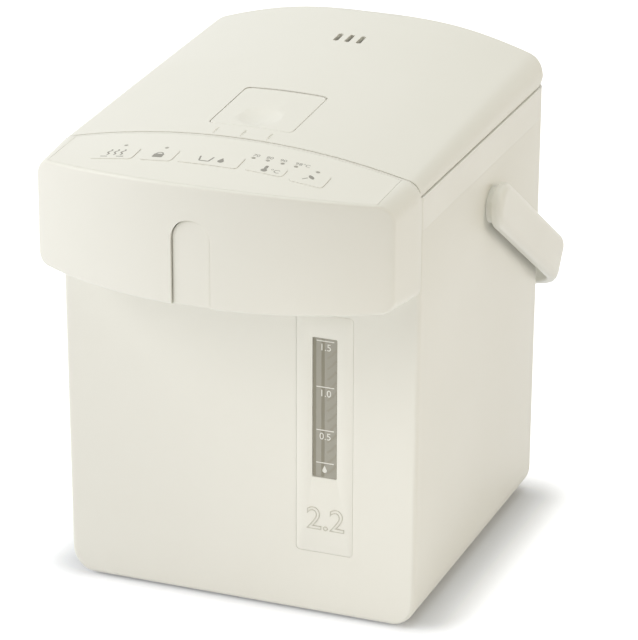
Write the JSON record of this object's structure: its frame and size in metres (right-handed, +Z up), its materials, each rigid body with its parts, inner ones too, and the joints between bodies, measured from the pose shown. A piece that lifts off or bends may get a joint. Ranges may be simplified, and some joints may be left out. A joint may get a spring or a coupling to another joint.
{
  "type": "electric thermo pot",
  "caption": "Electric hot water dispenser with a hinged lid, motor pump, front spout, level gauge, control keys and a carrying handle.",
  "frame": {"origin": "middle of the footprint of the whole part on the floor, with the handle stored", "axes": "+Z up, -Y towards the spout and control panel, +X towards the level gauge side"},
  "size_m": [0.208, 0.2796, 0.2591],
  "materials": {
    "ivory_shell": "moulded ABS, fine satin",
    "ivory_trim": "smooth satin film and keys",
    "steel": "bright sheet steel",
    "fastener": "zinc plated",
    "window": "clear moulded sheet",
    "clear_tube": "frosted polypropylene",
    "silicone": "soft silicone",
    "foot_rubber": "soft rubber",
    "dark_plastic": "moulded nylon",
    "circuit": "coated laminate",
    "copper": "bare contact metal"
  },
  "bodies": {
    "housing": {"outer_body": "ivory_shell", "upper_ring": "ivory_shell", "base_plate": "ivory_shell", "shield_posts": "ivory_shell", "feet": "foot_rubber", "base_screws": "fastener", "head_housing": "ivory_shell", "head_bottom_cover": "ivory_shell", "control_panel": "ivory_trim", "indicator_lenses": "clear_tube", "control_board": "circuit", "tact_switches": "dark_plastic", "spout_cover": "ivory_shell", "spout_nozzle": "clear_tube", "outlet_hose": "silicone", "tip_valve": "clear_tube", "gauge_panel": "ivory_trim", "gauge_window": "window", "gauge_backing": "ivory_shell", "gauge_tube": "clear_tube", "riser_elbow": "silicone", "suction_pipe": "silicone", "pump_housing": "clear_tube", "pump_motor": "steel", "inner_container": "steel", "container_packing": "silicone", "heat_shield": "steel", "band_heater": "copper", "heater_plate": "steel", "thermistor": "copper", "thermal_fuse": "clear_tube", "power_board": "circuit", "power_inlet": "dark_plastic", "inlet_pins": "copper", "handle_pivots": "ivory_shell", "pivot_screws": "fastener"},
    "lid": {"lid_outer": "ivory_shell", "lid_inner": "ivory_shell", "inner_lid_disc": "steel", "lid_gasket": "silicone", "steam_pipe": "clear_tube", "lid_screws": "fastener", "lever_pin": "fastener", "lever_spring": "fastener", "hinge_pins": "fastener"},
    "lever": {"lid_lever": "ivory_shell"},
    "latch": {"lid_latch": "clear_tube"},
    "handle": {"handle": "ivory_shell"},
    "reboil_key": {"reboil_key": "ivory_trim"},
    "lock_key": {"lock_key": "ivory_trim"},
    "dispense_key": {"dispense_key": "ivory_trim"},
    "temperature_key": {"temperature_key": "ivory_trim"},
    "eco_key": {"eco_key": "ivory_trim"},
    "pump_rotor": {"motor_rotor": "dark_plastic", "impeller": "clear_tube"},
    "valve_ball": {"tip_valve_ball": "fastener"}
  },
  "joints": [
    {"name": "lid_hinge", "type": "hinge", "parent": "housing", "child": "lid", "pos_m": [0, 0.09725, 0.2405], "axis": [-1, 0, 0], "range_deg": [0, 80]},
    {"name": "lever_lift", "type": "hinge", "parent": "lid", "child": "lever", "pos_m": [0, -0.01925, 0.24877], "axis": [-1, 0, 0], "range_deg": [0, 25], "stiffness_Nm_per_rad": 0.05},
    {"name": "latch_slide", "type": "slide", "parent": "lid", "child": "latch", "axis": [0, 1, 0], "range_m": [0, 0.003]},
    {"name": "handle_swing", "type": "hinge", "parent": "housing", "child": "handle", "pos_m": [0, 0.02325, 0.1916], "axis": [1, 0, 0], "range_deg": [0, 125]},
    {"name": "reboil_press", "type": "slide", "parent": "housing", "child": "reboil_key", "axis": [0, 0, -1], "range_m": [0, 0.0006], "stiffness_N_per_m": 400},
    {"name": "lock_press", "type": "slide", "parent": "housing", "child": "lock_key", "axis": [0, 0, -1], "range_m": [0, 0.0006], "stiffness_N_per_m": 400},
    {"name": "dispense_press", "type": "slide", "parent": "housing", "child": "dispense_key", "axis": [0, 0, -1], "range_m": [0, 0.0006], "stiffness_N_per_m": 400},
    {"name": "temperature_press", "type": "slide", "parent": "housing", "child": "temperature_key", "axis": [0, 0, -1], "range_m": [0, 0.0006], "stiffness_N_per_m": 400},
    {"name": "eco_press", "type": "slide", "parent": "housing", "child": "eco_key", "axis": [0, 0, -1], "range_m": [0, 0.0006], "stiffness_N_per_m": 400},
    {"name": "pump_spin", "type": "hinge", "parent": "housing", "child": "pump_rotor", "pos_m": [0.0285, -0.03275, 0.03], "axis": [0, 0, 1], "continuous": true},
    {"name": "ball_drop", "type": "slide", "parent": "housing", "child": "valve_ball", "axis": [0, 0, 1], "range_m": [0, 0.005]}
  ],
  "couplings": [
    {"joint": "latch_slide", "follows": "lever_lift", "m_per_rad": 0.0068}
  ]
}
